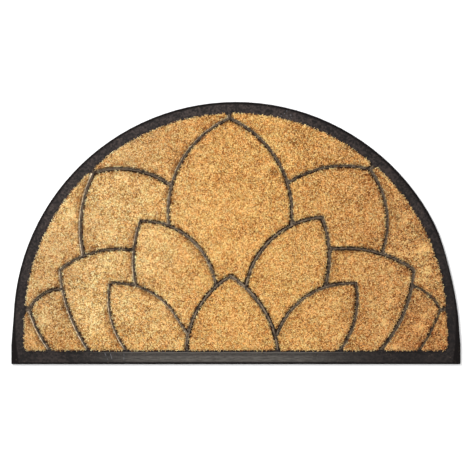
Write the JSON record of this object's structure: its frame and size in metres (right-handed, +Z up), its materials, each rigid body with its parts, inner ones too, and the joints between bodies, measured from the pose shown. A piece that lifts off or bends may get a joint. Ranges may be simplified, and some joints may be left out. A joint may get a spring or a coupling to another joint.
{
  "type": "half-round doormat",
  "caption": "Half-round doormat: a moulded black rubber tray with a flat border and raised petal-shaped ribs, its pockets filled with coir pile.",
  "frame": {"origin": "on the surface that the mat lies on, under the middle of its length and depth", "axes": "+X along the straight edge, +Y from the straight edge towards the crown of the arc, +Z up out of the pile"},
  "size_m": [0.75, 0.438, 0.012],
  "materials": {
    "rubber": "matt moulded rubber, a little polished by use on the straight border",
    "coir": "upright cut coir fibre, golden brown with pale and dark fibres"
  },
  "bodies": {
    "root": {"rubber_base": "rubber", "coir_petal_centre": "coir", "coir_petal_front": "coir", "coir_petal_back_left": "coir", "coir_petal_back_right": "coir", "coir_petal_middle_left": "coir", "coir_petal_middle_right": "coir", "coir_petal_low_left": "coir", "coir_petal_low_right": "coir", "coir_petal_side_left": "coir", "coir_petal_side_right": "coir", "coir_petal_end_left": "coir", "coir_petal_end_right": "coir", "coir_ground_top_left": "coir", "coir_ground_top_right": "coir", "coir_ground_side_left": "coir", "coir_ground_side_right": "coir", "coir_ground_corner_left": "coir", "coir_ground_corner_right": "coir"}
  },
  "joints": []
}
